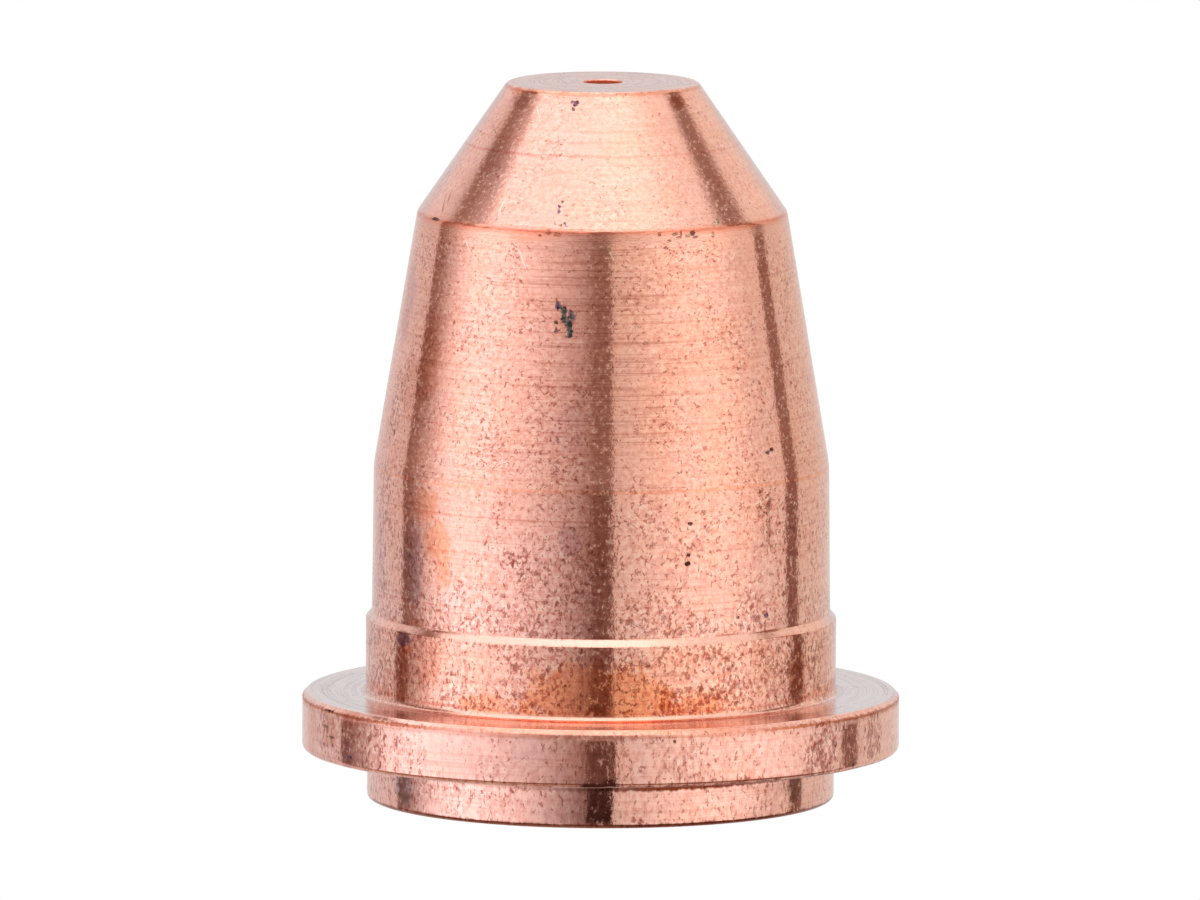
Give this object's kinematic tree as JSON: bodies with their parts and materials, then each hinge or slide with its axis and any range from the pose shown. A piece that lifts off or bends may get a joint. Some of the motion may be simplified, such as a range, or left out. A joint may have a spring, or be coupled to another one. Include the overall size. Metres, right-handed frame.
{
  "type": "plasma torch nozzle",
  "caption": "Turned copper nozzle for an air plasma cutting torch: a flanged, stepped body that tapers to a flat tip with a fine orifice, bored hollow from the rear.",
  "frame": {"origin": "centre of the annular rear face, on the bore's axis, where the nozzle stands", "axes": "+Z along the bore's axis from the rear face to the tip; X and Y are free, because the part is a solid of revolution"},
  "size_m": [0.0154, 0.0154, 0.0186],
  "materials": {
    "copper": "turned copper, satin, lightly tarnished"
  },
  "bodies": {
    "root": {"nozzle": "copper"}
  },
  "joints": []
}
